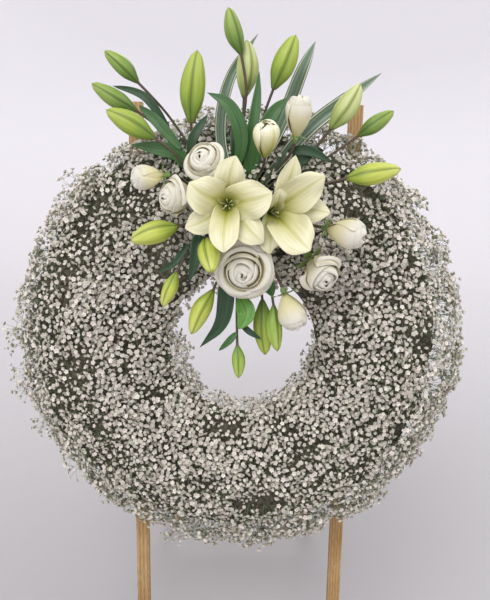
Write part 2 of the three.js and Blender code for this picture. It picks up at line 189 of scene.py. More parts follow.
def coat(tree, shader, paint, height, strength, depth):
    """Gives a shader its colour, and from a height a relief of some depth in metres."""
    bump = node(tree, "Bump", {"Height": height, "Strength": strength, "Distance": depth})
    tree.links.new(paint, shader.inputs["Base Color"])
    tree.links.new(bump.outputs[0], shader.inputs["Normal"])


def pine(name, turn):
    """Planed pine whose grain runs along a batten that is turned so from upright."""
    made, tree, shader = material(name, roughness=0.72, specular=0.3)
    place = node(tree, "TexCoord").outputs["Object"]
    along = node(tree, "Mapping", {"Vector": place, "Rotation": turn}, vector_type="TEXTURE")
    grain = node(tree, "Mapping", {"Vector": along.outputs[0], "Location": (0.031, 0.018, 0),
                                   "Scale": (1, 1, 0.035)})
    # growth rings about 4 mm apart, met at a slant
    rings = node(tree, "TexWave", {"Vector": grain.outputs[0], "Scale": 78, "Distortion": 5.5,
                                   "Detail": 3, "Detail Scale": 22},
                 wave_type="RINGS", rings_direction="Z")
    fibre = node(tree, "TexNoise", {"Vector": grain.outputs[0], "Scale": 1400, "Detail": 3})
    broad = node(tree, "TexNoise", {"Vector": place, "Scale": 9, "Detail": 2})
    wood = node(tree, "ValToRGB", {"Fac": rings.outputs["Fac"]}, stops=[
        (0.0, "CDB184"), (0.6, "C4A677"), (0.95, "A8875C")])
    hairs = node(tree, "ValToRGB", {"Fac": fibre.outputs["Fac"]}, stops=[
        (0.3, "CFC4B4"), (0.7, "FFFFFF")])
    age = node(tree, "ValToRGB", {"Fac": broad.outputs["Fac"]}, stops=[
        (0.35, "DCCBB4"), (0.65, "FFFFFF")])
    hairy = node(tree, "Mix", {0: 1.0, 6: wood.outputs[0], 7: hairs.outputs[0]},
                 data_type="RGBA", blend_type="MULTIPLY")
    aged = node(tree, "Mix", {0: 0.8, 6: hairy.outputs[2], 7: age.outputs[0]},
                data_type="RGBA", blend_type="MULTIPLY")
    coat(tree, shader, aged.outputs[2], fibre.outputs["Fac"], 0.4, 0.0004)
    return made


leg_low, leg_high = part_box("left_rear_leg")
LEG_LEAN = math.atan((leg_high.y - leg_low.y) / (leg_high.z - leg_low.z))
leaning_pine = pine("pine_leaning", (-LEAN, 0, 0))
slanting_pine = pine("pine_slanting", (LEG_LEAN, 0, 0))
crosswise_pine = pine("pine_crosswise", (0, math.pi / 2, 0))
lengthwise_pine = pine("pine_lengthwise", (math.pi / 2, 0, 0))
for name, finish in {
        "left_post": leaning_pine, "right_post": leaning_pine,
        "left_rear_leg": slanting_pine, "right_rear_leg": slanting_pine,
        "upper_rail": crosswise_pine, "lower_rail": crosswise_pine,
        "rear_rail": crosswise_pine,
        "left_brace": lengthwise_pine, "right_brace": lengthwise_pine}.items():
    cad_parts[name].data.materials.clear()
    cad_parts[name].data.materials.append(finish)


# ---- Nails ---------------------------------------------------------------------------
# Two bright round-headed steel nails, 4.5 mm across, hold each rail to each post.

steel, _, shader = material("drawn_steel", roughness=0.38)
shader.inputs["Base Color"].default_value = colour("9A9B9C")
shader.inputs["Metallic"].default_value = 1.0


def wreath_box(name):
    """The lowest and highest corner of a node in the wreath's plane, millimetres."""
    corners = [TO_WREATH @ v.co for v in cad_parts[name].data.vertices]
    return (Vector(map(min, *corners)), Vector(map(max, *corners)))


HEAD_RADIUS, HEAD_HEIGHT, NAIL_SPREAD = 2.3, 0.9, 6.0
nails = bmesh.new()
for rail in ("upper_rail", "lower_rail"):
    rail_low, rail_high = wreath_box(rail)
    for post in ("left_post", "right_post"):
        post_low, post_high = wreath_box(post)
        middle = Vector(((post_low.x + post_high.x) / 2, rail_high.y,
                         (rail_low.z + rail_high.z) / 2))
        for side in (-1, 1):
            spot = middle + Vector((side * NAIL_SPREAD, HEAD_HEIGHT / 2, side * NAIL_SPREAD * 0.6))
            head = bmesh.ops.create_cone(
                nails, cap_ends=True, segments=14, radius1=HEAD_RADIUS, radius2=HEAD_RADIUS * 0.8,
                depth=HEAD_HEIGHT,
                matrix=WREATH @ Matrix.Translation(spot) @ Matrix.Rotation(-math.pi / 2, 4, "X"))
nails = finished("nail_heads", nails, steel, smooth=False)
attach(nails, "root")


# ---- Straw ring ----------------------------------------------------------------------
# A florist's base of rye straw pressed into a round roll and wound with jute twine.
# Straw is a dull gold with a satin skin; the strands lie along the roll.

ring_min, ring_max = wreath_box("straw_ring")
RING_DEPTH = (ring_max.y - ring_min.y) / 2
RING_OUTER = (ring_max.x - ring_min.x) / 2
RING_HALF = 69.0
RING_RADIUS = RING_OUTER - RING_HALF - 1.0


def on_ring(angle, around, proud=0.0):
    """A point on the roll: clock angle round the wreath, and angle round the roll."""
    turn, roll = math.radians(angle), math.radians(around)
    radius = RING_RADIUS + (RING_HALF + proud) * math.cos(roll)
    return at(radius * math.sin(turn), radius * math.cos(turn),
              (RING_DEPTH - 1 + proud) * math.sin(roll))


def sheet(shape, across, along, place, paint=lambda u, v: (u, v)):
    """Lays a grid through place(u, v), u and v from 0 to 1, and maps it by paint(u, v)."""
    uv = shape.loops.layers.uv.get("OFBake") or shape.loops.layers.uv.new("OFBake")
    before = len(shape.faces)
    made = bmesh.ops.create_grid(shape, x_segments=across, y_segments=along, size=0.5)["verts"]
    spots = {v: (v.co.x + 0.5, v.co.y + 0.5) for v in made}
    shape.faces.ensure_lookup_table()
    for face in shape.faces[before:]:
        for loop in face.loops:
            loop[uv].uv = paint(*spots[loop.vert])
    for v, (u, w) in spots.items():
        v.co = place(u, w)
    return made


def straw_height(u, v):
    strands = noise.noise(Vector((math.cos(v * 2 * math.pi) * 16, math.sin(v * 2 * math.pi) * 16,
                                  u * 60)))
    lumps = noise.noise(Vector((math.cos(v * 2 * math.pi), math.sin(v * 2 * math.pi), u * 24)))
    return 1.3 * strands + 1.6 * lumps - 2.0


straw, tree, shader = material("pressed_rye_straw", roughness=0.62)
spot = node(tree, "UVMap", uv_map="OFBake").outputs[0]
lie = node(tree, "Mapping", {"Vector": spot, "Scale": (60, 150, 1)})
strands = node(tree, "TexNoise", {"Vector": lie.outputs[0], "Scale": 1.0, "Detail": 4})
shade = node(tree, "ValToRGB", {"Fac": strands.outputs["Fac"]}, stops=[
    (0.25, "4C3820"), (0.45, "8A6A3C"), (0.75, "C6A368")])
coat(tree, shader, shade.outputs[0], strands.outputs["Fac"], 0.7, 0.002)

roll = bmesh.new()
sheet(roll, 150, 44, lambda u, v: on_ring(u * 360, v * 360, straw_height(u, v)))
bmesh.ops.remove_doubles(roll, verts=roll.verts, dist=1e-5)
bmesh.ops.recalc_face_normals(roll, faces=roll.faces)
roll = finished("straw_roll", roll, straw)
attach(roll, "root")
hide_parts("straw_ring")


def rope(shape, points, radius, sides=5):
    """Adds a round cord through some points to a bmesh, with its two ends closed."""
    last = len(points) - 1

    def skin(u, v):
        i = round(v * (last + 2)) - 1
        spot = min(max(i, 0), last)
        along = points[min(spot + 1, last)] - points[max(spot - 1, 0)]
        side = along.orthogonal().normalized()
        size = 0 if i < 0 or i > last else radius
        turned = Matrix.Rotation(u * 2 * math.pi, 3, along) @ side
        return points[spot] + turned * size * MM

    made = sheet(shape, sides, last + 2, skin)
    bmesh.ops.remove_doubles(shape, verts=made, dist=1e-6)


jute, _, shader = material("jute_twine", roughness=0.85, specular=0.2)
shader.inputs["Base Color"].default_value = colour("8C7450")
TWINE_TURNS, TWINE_RADIUS, POINTS_A_TURN = 54, 1.1, 18
twine = bmesh.new()
winding = [on_ring(360 * i / (TWINE_TURNS * POINTS_A_TURN), 360 * i / POINTS_A_TURN, 0.2)
           for i in range(TWINE_TURNS * POINTS_A_TURN + 1)]
rope(twine, winding, TWINE_RADIUS)
bmesh.ops.recalc_face_normals(twine, faces=twine.faces)
twine = finished("twine_winding", twine, jute)
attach(twine, "root")

# Loose straws stand a little off the roll and keep its back from looking smooth.
chance = random.Random(7)
loose = bmesh.new()
for _ in range(240):
    start, around = chance.uniform(0, 360), chance.uniform(0, 360)
    run, drift, lift = chance.uniform(6, 16), chance.uniform(-25, 25), chance.uniform(0, 1.2)
    rope(loose, [on_ring(start + run * t, around + drift * t, lift + 1.5 * t * (1 - t))
                 for t in (0, 0.33, 0.67, 1)], 0.9, sides=3)
bmesh.ops.recalc_face_normals(loose, faces=loose.faces)
loose = finished("loose_straws", loose, straw)
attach(loose, "root")


# ---- Wire ties and floral foam -------------------------------------------------------
# Green-lacquered florist's wire holds the roll to the posts. The foam is a dull green
# phenolic block, crumbly and full of fine pores.

lacquer, _, shader = material("lacquered_wire", roughness=0.35)
shader.inputs["Base Color"].default_value = colour("33452F")
shader.inputs["Coat Weight"].default_value = 0.4
for i in range(4):
    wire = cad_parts[f"wire_tie_{i + 1}"].data
    wire.materials.clear()
    wire.materials.append(lacquer)

pores, tree, shader = material("floral_foam", roughness=0.97, specular=0.1)
place = node(tree, "TexCoord").outputs["Object"]
cells = node(tree, "TexVoronoi", {"Vector": place, "Scale": 420})
shade = node(tree, "ValToRGB", {"Fac": cells.outputs["Distance"]}, stops=[
    (0.1, "1F3B28"), (0.8, "3C6A49")])
coat(tree, shader, shade.outputs[0], cells.outputs["Distance"], 0.6, 0.0012)
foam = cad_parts["foam_block"].data
foam.materials.clear()
foam.materials.append(pores)
foam_low, foam_high = wreath_box("foam_block")
FOAM_HEART = WREATH @ ((foam_low + foam_high) / 2)


# ---- Gypsophila ----------------------------------------------------------------------
# Eight bunches of baby's breath, bound side by side over the roll. Each floret is a small
# double flower, chalk white with a cream eye, on a hair-thin grey-green stalk.

# The map's u picks one of these tints; the last strip is for stalks.
FLORET_TINTS = ["DED9D0", "D5D0C8", "DAD2CB", "CCC9C0", "D8D5C9", "C3BEB5", "D3CAC4", "C9C8BA"]
STRIPS = len(FLORET_TINTS) + 1
STALK_STRIP = (STRIPS - 0.5) / STRIPS
chalk, tree, shader = material("gypsophila_petal", roughness=0.85, specular=0.2)
spot = node(tree, "SeparateXYZ", {0: node(tree, "UVMap", uv_map="OFBake").outputs[0]})
tint = node(tree, "ValToRGB", {"Fac": spot.outputs["X"]}, stops=[
    ((i + 0.5) / STRIPS, code) for i, code in enumerate(FLORET_TINTS)])
petal = node(tree, "ValToRGB", {"Fac": spot.outputs["Y"]}, stops=[
    (0.0, "74805C"), (0.2, "C9CDB4"), (0.34, "F4F2EE"), (0.68, "FFFFFF"), (0.86, "F6F4EA"),
    (1.0, "E2E0C8")])
stalk = node(tree, "ValToRGB", {"Fac": spot.outputs["Y"]}, stops=[
    (0.0, "4A5540"), (1.0, "8C9878")])
flower = node(tree, "Mix", {0: 1.0, 6: petal.outputs[0], 7: tint.outputs[0]},
              data_type="RGBA", blend_type="MULTIPLY")
is_stalk = node(tree, "Math", {0: spot.outputs["X"], 1: (STRIPS - 1) / STRIPS},
                operation="GREATER_THAN")
painted = node(tree, "Mix", {0: is_stalk.outputs[0], 6: flower.outputs[2], 7: stalk.outputs[0]},
               data_type="RGBA")
tree.links.new(painted.outputs[2], shader.inputs["Base Color"])

PETALS = 5


def notched_skin(u, v):
    """A floret one unit wide as a shallow cup: calyx point, notched rim, eye."""
    step, level = round(u * 2 * PETALS) % (2 * PETALS), round(v * 2)
    if level != 1:
        return Vector((0, 0, -0.62 if level == 0 else -0.05))
    radius, height = (1.0, 0.34) if step % 2 == 0 else (0.7, 0.2)
    angle = step * math.pi / PETALS
    return Vector((radius * math.cos(angle), radius * math.sin(angle), height))


def doubled_skin(u, v):
    """A fuller floret one unit wide: calyx point, rim, raised inner petals, eye."""
    level = round(v * 3)
    if level in (0, 3):
        return Vector((0, 0, -0.62 if level == 0 else 0.08))
    radius, height = (0.97, 0.0) if level == 1 else (0.56, 0.38)
    angle = (u * PETALS + (0.5 if level == 2 else 0)) * 2 * math.pi / PETALS
    return Vector((radius * math.cos(angle), radius * math.sin(angle), height))


def floret(tint_number):
    shape = bmesh.new()
    strip = (tint_number + 0.5) / STRIPS
    if tint_number % 2:
        sheet(shape, PETALS, 3, doubled_skin, lambda u, v: (strip, v))
    else:
        sheet(shape, 2 * PETALS, 2, notched_skin, lambda u, v: (strip, v))
    bmesh.ops.remove_doubles(shape, verts=shape.verts, dist=1e-4)
    mesh = bpy.data.meshes.new("floret")
    shape.to_mesh(mesh)
    shape.free()
    return mesh


def hair(shape, start, end, radius, tone=(0.2, 0.9)):
    """A hair-thin stalk between two points."""
    along = (end - start).normalized()
    side = along.orthogonal().normalized() * radius

    def skin(u, v):
        turned = Matrix.Rotation(u * 2 * math.pi, 3, along) @ side
        return start.lerp(end, v) + turned * (1 - 0.4 * v)

    made = sheet(shape, 3, 1, skin,
                 lambda u, v: (STALK_STRIP, tone[0] + (tone[1] - tone[0]) * v))
    bmesh.ops.remove_doubles(shape, verts=made, dist=1e-5)


def tilted(chance, axis, spread):
    """A direction within some degrees of an axis."""
    lean = Matrix.Rotation(math.radians(spread) * math.sqrt(chance.random()), 3,
                           axis.orthogonal())
    return (Matrix.Rotation(chance.uniform(0, 2 * math.pi), 3, axis) @ lean @ axis).normalized()


florets = [floret(i) for i in range(len(FLORET_TINTS))]
FLORET_RADIUS = 4.9
GOLDEN_TURN = math.radians(137.508)


def sprig(chance, heads=24, spread=31, height=48, branches=6, root=-12):
    """A branching top of one stem, in millimetres: stalks along Z that end in florets."""
    shape = bmesh.new()
    hair(shape, Vector((0, 0, root)), Vector((0, 0, height * 0.36)), 0.9)
    knees = []
    for b in range(branches):
        turn = 2 * math.pi * (b + 0.6 * chance.random()) / branches
        reach = spread * chance.uniform(0.3, 0.56)
        knees.append(Vector((reach * math.cos(turn), reach * math.sin(turn),
                             height * chance.uniform(0.52, 0.66))))
        hair(shape, Vector((0, 0, height * chance.uniform(0.05, 0.32))), knees[-1], 0.55)
    for i in range(heads):
        turn = i * GOLDEN_TURN + chance.uniform(-0.25, 0.25)
        reach = spread * math.sqrt((i + 0.5) / heads) * chance.uniform(0.88, 1.1)
        top = Vector((reach * math.cos(turn), reach * math.sin(turn),
                      height * (1 - 0.3 * (reach / spread) ** 2) + chance.uniform(-7, 3)))
        knee = min(knees, key=lambda place: (place - top).length)
        hair(shape, knee, top, 0.38, (0.4, 1.0))
        heading = ((top - knee).normalized() + Vector((0, 0, 0.5))).normalized()
        size = FLORET_RADIUS * chance.uniform(0.7, 1.12)
        facing = tilted(chance, heading, 30).to_track_quat("Z", "Y").to_matrix().to_4x4()
        bloom = chance.choice(florets).copy()
        bloom.transform(Matrix.Translation(top) @ facing @ Matrix.Diagonal(
            (size, size, size * chance.uniform(0.8, 1.15), 1)))
        shape.from_mesh(bloom)
        bpy.data.meshes.remove(bloom)
    mesh = bpy.data.meshes.new("sprig")
    shape.to_mesh(mesh)
    shape.free()
    return mesh


chance = random.Random(11)
SPRIG_HEIGHT = 46
sprigs = [sprig(chance) for _ in range(9)]
airy = [sprig(chance, heads=11, spread=30, height=58, branches=4) for _ in range(4)]
long_stemmed = [sprig(chance, heads=17, spread=24, height=48, branches=5, root=-46)
                for _ in range(5)]


def merged_copy(name):
    """A plain node's mesh, with the corners that its faces share joined."""
    shape = bmesh.new()
    shape.from_mesh(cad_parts[name].data)
    bmesh.ops.remove_doubles(shape, verts=shape.verts, dist=1e-5)
    shape.verts.index_update()
    return shape


def rings(name, sides):
    """The rings of corners along a stalk and its head, or a leaf, from its root outwards."""
    shape = merged_copy(name)
    root = min(shape.verts, key=lambda v: (v.co - FOAM_HEART).length)
    ring = sorted(shape.verts, key=lambda v: (v.co - root.co).length)[:sides]
    found, seen = [], set(ring)
    while ring:
        found.append([v.co.copy() for v in ring])
        beyond = {edge.other_vert(v) for v in ring for edge in v.link_edges} - seen
        ring = sorted(beyond, key=lambda v: v.index)
        seen.update(ring)
    shape.free()
    return found


def middle(ring):
    return sum(ring, Vector()) / len(ring)


def girth(ring):
    return max((corner - middle(ring)).length for corner in ring)


STALK_RINGS = 4                   # a head starts at this ring of its node
BUDS = [f"lily_bud_{i:02d}" for i in range(1, 18)]
ROSES = sorted(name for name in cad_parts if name.startswith("rose_"))
SIDES = {**{name: 6 for name in BUDS}, **{name: 8 for name in [*ROSES, "lily_opening"]}}
RINGS = {name: rings(name, sides) for name, sides in SIDES.items()}
HEADS = [(middle(ring), girth(ring)) for found in RINGS.values() for ring in found[STALK_RINGS:]]
open_lilies = bmesh.new()
for name in ("lily_left", "lily_right"):
    open_lilies.from_mesh(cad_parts[name].data)
LILY_TREE = BVHTree.FromBMesh(open_lilies)
open_lilies.free()


def room(point):
    """How far a point is from the nearest flower or bud."""
    return min(LILY_TREE.find_nearest(point)[3],
               min((point - place).length - size for place, size in HEADS))


foliage_and_painted_shade, tree, shader = material("gypsophila_foliage_and_painted_shade", roughness=0.9, specular=0.15)
place = node(tree, "TexCoord").outputs["Object"]
patches = node(tree, "TexNoise", {"Vector": place, "Scale": 150, "Detail": 4, "Roughness": 0.7})
# painted shade: these dark greys stand in for the shade deep between the florets, over the stems' and
# leaves' own colour
shade = node(tree, "ValToRGB", {"Fac": patches.outputs["Fac"]}, stops=[
    (0.3, "3A372E"), (0.5, "5B584A"), (0.68, "827F6D")])
coat(tree, shader, shade.outputs[0], patches.outputs["Fac"], 1.0, 0.006)

# One bunch ends and the next begins at each of these clock angles. The stems and leaves
# lie some way under a bunch's outside, but always cover the straw in front.
EDGE_CLOCKS = [-60, -20, 20, 60, 120, 160, 200, 240, 300]
FOLIAGE_DEPTH, FOLIAGE_LUMPS = 44, 12
STRAW_COVER, BACK_LEAST = 5, 20
OUTSIDE, IN_THE_HOLE = 330, 190        # where the search for a bunch's outside starts


def bed(name, first, last):
    """The lumpy mass of stems and small leaves that the sprigs stand in, its dark colour partly their
    own and partly painted shade between the florets.
    """
    copy = merged_copy(name)
    solid = BVHTree.FromBMesh(copy)
    copy.free()
    shape = bmesh.new()

    def skin(u, v):
        angle = first - 1.5 + (last - first + 3) * v
        inside = math.radians(min(max(angle, first + 2), last - 2))
        roll = 2 * math.pi * u
        way = Vector((math.cos(roll) * math.sin(inside), -math.sin(roll),
                      math.cos(roll) * math.cos(inside)))
        heart = Vector((RING_RADIUS * math.sin(inside), 0, RING_RADIUS * math.cos(inside)))
        start = heart + way * (OUTSIDE if math.cos(roll) > -0.2 else IN_THE_HOLE)
        hit = solid.ray_cast(WREATH @ start, (WREATH @ heart - WREATH @ start).normalized())[0]
        reach = ((TO_WREATH @ hit) - heart).length if hit else RING_HALF + 8
        lumps = noise.noise(Vector((way.x, way.y, way.z)) * 4 + Vector((angle, 0, 0)) / 6)
        straw_reach = RING_HALF * RING_DEPTH / math.hypot(
            RING_DEPTH * math.cos(roll), RING_HALF * math.sin(roll))
        least = straw_reach + STRAW_COVER if math.sin(roll) > -0.3 else BACK_LEAST
        reach = max(reach - FOLIAGE_DEPTH + FOLIAGE_LUMPS * lumps, least)
        turn = math.radians(angle)
        return at((RING_RADIUS + reach * math.cos(roll)) * math.sin(turn),
                  (RING_RADIUS + reach * math.cos(roll)) * math.cos(turn),
                  reach * math.sin(roll))

    sheet(shape, 40, 14 + (last - first) // 6, skin)
    bmesh.ops.remove_doubles(shape, verts=shape.verts, dist=1e-5)
    bmesh.ops.holes_fill(shape, edges=shape.edges)
    bmesh.ops.recalc_face_normals(shape, faces=shape.faces)
    return finished(name.replace("gypsophila", "foliage_and_painted_shade"), shape, foliage_and_painted_shade)


SPRIGS_PER_M2 = 1390
BACK_COVER, SIDE_COVER, FRONT_EXTRA, TOP_EXTRA = 0.14, 0.5, 0.5, 0.42


def cover(normal):
    """How thickly a bunch is planted where it faces so: most in front and on top."""
    if normal.y > 0.35:
        return BACK_COVER
    return SIDE_COVER - FRONT_EXTRA * min(normal.y, 0) + TOP_EXTRA * max(normal.z, 0)


EDGE_ON = 0.25                   # faces turned further from outwards are inner ones
TRIES_A_PLACE = 7                # the one furthest from the others is kept
FRONTWARD = 1.5                  # how far sprigs lean to the front or back


def plantings(name, chance):
    """Even, random places on a bunch's outside, each with the way its sprig grows."""
    solid = merged_copy(name)
    bmesh.ops.triangulate(solid, faces=solid.faces)
    skins = []
    for face in solid.faces:
        spot = TO_WREATH @ face.calc_center_median()
        flat = Vector((spot.x, 0, spot.z))
        outward = (spot - flat.normalized() * RING_RADIUS).normalized()
        normal = (TO_WREATH.to_3x3() @ face.normal).normalized()
        if normal.dot(outward) < EDGE_ON:
            continue
        skins.append(([v.co.copy() for v in face.verts], face.calc_area() * cover(normal)))
    solid.free()
    areas = [area for _, area in skins]
    count = round(sum(areas) * SPRIGS_PER_M2)
    chosen = []
    for _ in range(count):
        best, most = None, -1
        for corners, _ in chance.choices(skins, areas, k=TRIES_A_PLACE):
            a, b = sorted((chance.random(), chance.random()))
            spot = corners[0] * a + corners[1] * (b - a) + corners[2] * (1 - b)
            gap = min(((spot - other).length for other in chosen), default=1)
            if gap > most:
                best, most = spot, gap
        chosen.append(best)
    places = []
    for spot in chosen:
        flat = TO_WREATH @ spot
        heart = Vector((flat.x, 0, flat.z)).normalized() * RING_RADIUS
        outward = flat - heart
        outward.y *= FRONTWARD
        places.append((flat, outward.normalized()))
    return places


def plant(shape, template, spot, way, chance, height):
    """Sets a sprig so that its top comes to a spot, in wreath millimetres."""
    size = chance.uniform(0.85, 1.1)
    turn = Matrix.Rotation(chance.uniform(0, 2 * math.pi), 4, "Z")
    stand = tilted(chance, way, 26).to_track_quat("Z", "Y").to_matrix().to_4x4()
    root = spot - way * (height * size)
    copy = template.copy()
    copy.transform(WREATH @ Matrix.Translation(root) @ stand @ turn @ Matrix.Scale(size, 4))
    shape.from_mesh(copy)
    bpy.data.meshes.remove(copy)


# Sprigs stand a little deeper or higher, and higher to the right. One that comes near a
# flower is tucked in, and one that would touch it is left out. A few airy ones stand out.
DEEPEST, HIGHEST, RISE_TO_RIGHT = -17, 4, 0.026
NEAR_A_FLOWER, TUCKED_IN, TOUCHING = 14, 16, 2
AIRY_SHARE, AIRY_RISE, AIRY_HEIGHT = 0.1, 7, 6
for number, (first, last) in enumerate(zip(EDGE_CLOCKS, EDGE_CLOCKS[1:]), 1):
    name = f"gypsophila_bunch_{number}"
    chance = random.Random(100 + number)
    bunch = bmesh.new()
    for spot, way in plantings(name, chance):
        depth = chance.uniform(DEEPEST, HIGHEST) + RISE_TO_RIGHT * spot.x
        free = room(WREATH @ (spot + way * depth)) / MM
        if free < NEAR_A_FLOWER:
            depth -= TUCKED_IN
        if free < TOUCHING:
            continue
        plant(bunch, chance.choice(sprigs), spot + way * depth, way, chance, SPRIG_HEIGHT)
        if chance.random() < AIRY_SHARE and way.y < 0.3:
            plant(bunch, chance.choice(airy), spot + way * AIRY_RISE, way, chance,
                  SPRIG_HEIGHT + AIRY_HEIGHT)
    bunch = finished(f"sprigs_{number}", bunch, chalk, smooth=False)
    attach(bunch, "root")
    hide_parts(name)
    mass = bed(name, first, last)
    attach(mass, "root")


# Taller sprigs fill the gaps between the flowers of the spray, clear of every flower and
# of the wreath's hole.
SPRAY_X, SPRAY_UP, SPRAY_RADIUS, HOLE_CLEAR = 10, 235, 150, 125
FILL_SPACING, FILL_ROOM, FILL_HEIGHT, FILL_TRIES = 30, 19, 44, 1500
chance = random.Random(53)
filling, filled = bmesh.new(), []
for _ in range(FILL_TRIES):
    spot = Vector((chance.uniform(-140, 155), -chance.uniform(72, 108), chance.uniform(95, 345)))
    inside_spray = math.hypot(spot.x - SPRAY_X, (spot.z - SPRAY_UP) * 1.15) < SPRAY_RADIUS
    if not inside_spray or math.hypot(spot.x, spot.z) < HOLE_CLEAR:
        continue
    nearest = min(((spot - other).length for other in filled), default=99)
    if nearest < FILL_SPACING or room(WREATH @ spot) / MM < FILL_ROOM:
        continue
    filled.append(spot)
    way = Vector((spot.x / 400, -1, (spot.z - 200) / 400)).normalized()
    plant(filling, chance.choice(long_stemmed), spot, way, chance, FILL_HEIGHT)
filling = finished("filling_sprigs", filling, chalk, smooth=False)
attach(filling, "root")


# ---- Stalks --------------------------------------------------------------------------
# Each flower's stalk is cut short and pushed into the foam. Lily stalks are dull brown
# flushed with purple, and turn green just under the flower; they are smooth and satin.

def flow(values, t):
    """Reads a smooth curve through some points or numbers, t from 0 to 1."""
    place = min(max(t, 0), 1) * (len(values) - 1)
    i = min(int(place), len(values) - 2)
    f = place - i
    a, b, c, d = values[max(i - 1, 0)], values[i], values[i + 1], values[min(i + 2, len(values) - 1)]
    return (b * 2 + (c - a) * f + (a * 2 - b * 5 + c * 4 - d) * f * f
            + (b * 3 - a - c * 3 + d) * f ** 3) * 0.5


def stand(points, t):
    """The place at t on a line, the way across it and the way out to the front."""
    along = (flow(points, t + 0.02) - flow(points, t - 0.02)).normalized()
    across = FORWARD.cross(along).normalized()
    return flow(points, t), across, along.cross(across)


def tube(shape, points, sizes, around, along):
    """A round stalk along a line, its ends drawn to a point."""
    def skin(u, v):
        spot, across, out = stand(points, v)
        size = 0 if v in (0, 1) else flow(sizes, v)
        return spot + (across * math.cos(u * 2 * math.pi) + out * math.sin(u * 2 * math.pi)) * size

    made = sheet(shape, around, along, skin)
    bmesh.ops.remove_doubles(shape, verts=made, dist=1e-6)


bark, tree, shader = material("lily_stalk", roughness=0.5, specular=0.4)
spot = node(tree, "SeparateXYZ", {0: node(tree, "UVMap", uv_map="OFBake").outputs[0]})
shade = node(tree, "ValToRGB", {"Fac": spot.outputs["Y"]}, stops=[
    (0.0, "55603C"), (0.45, "4A4433"), (0.85, "57463A"), (1.0, "6C7444")])
tree.links.new(shade.outputs[0], shader.inputs["Base Color"])
STALK_SWELL = [1, 1, 1, 1.05, 1.15, 1.3]       # from the foam to the flower
ROSE_STALK, LILY_STALK = 2.4 * MM, 2.0 * MM
stalks = bmesh.new()
for name in SIDES:
    line = [middle(ring) for ring in RINGS[name][:STALK_RINGS + 2]]
    line[-1] = line[-2].lerp(line[-1], 0.4)
    thick = ROSE_STALK if name in ROSES else LILY_STALK
    tube(stalks, line, [thick * swell for swell in STALK_SWELL], 8, 18)
stalks = finished("flower_stalks", stalks, bark)
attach(stalks, "root")


# ---- Lily buds -----------------------------------------------------------------------
# Closed buds of three thick, ribbed outer tepals that meet in grooved seams. Their skin
# is waxy, green at the base and paler or yellower where the bud is nearer to opening.

BUD_SHAPE = [0.2, 0.42, 0.66, 0.85, 0.96, 1.0, 0.99, 0.93, 0.82, 0.66, 0.44, 0.0]


def streaks(tree, where, across, along, low, high):
    """Fine streaks, so many across and along a surface: their height and their tint."""
    lie = node(tree, "Mapping", {"Vector": where, "Scale": (across, along, 1)})
    lines = node(tree, "TexNoise", {"Vector": lie.outputs[0], "Scale": 1.0, "Detail": 3})
    tint = node(tree, "ValToRGB", {"Fac": lines.outputs["Fac"]}, stops=[low, high])
    return lines.outputs["Fac"], tint.outputs[0]


def bud_skin(name, base, belly, tip):
    made, tree, shader = material(name, roughness=0.42, specular=0.45)
    where = node(tree, "UVMap", uv_map="OFBake").outputs[0]
    spot = node(tree, "SeparateXYZ", {0: where})
    thirds = node(tree, "Math", {0: spot.outputs["X"], 1: 3.0}, operation="MULTIPLY")
    from_seam = node(tree, "Math", {0: thirds.outputs[0], 1: 0.5}, operation="PINGPONG")
    length = node(tree, "ValToRGB", {"Fac": spot.outputs["Y"]}, stops=[
        (0.0, "6A6A40"), (0.1, base), (0.45, belly), (0.93, tip), (1.0, "97915A")])
    # painted shade: the seams are darkened where they run in their grooves; the pale greens towards
    # the middle of each tepal are its own colour
    seam_shade_and_tint = node(tree, "ValToRGB", {"Fac": from_seam.outputs[0]}, stops=[
        (0.0, "9DA67C"), (0.06, "D3D9BC"), (0.18, "FFFFFF"), (0.38, "F1F4E2"), (0.5, "E2E8CC")])
    veins, fine = streaks(tree, where, 46, 2.5, (0.3, "D6DDC2"), (0.65, "FFFFFF"))
    seamed = node(tree, "Mix", {0: 1.0, 6: length.outputs[0], 7: seam_shade_and_tint.outputs[0]},
                  data_type="RGBA", blend_type="MULTIPLY")
    veined = node(tree, "Mix", {0: 0.9, 6: seamed.outputs[2], 7: fine},
                  data_type="RGBA", blend_type="MULTIPLY")
    coat(tree, shader, veined.outputs[2], veins, 0.35, 0.0006)
    return made


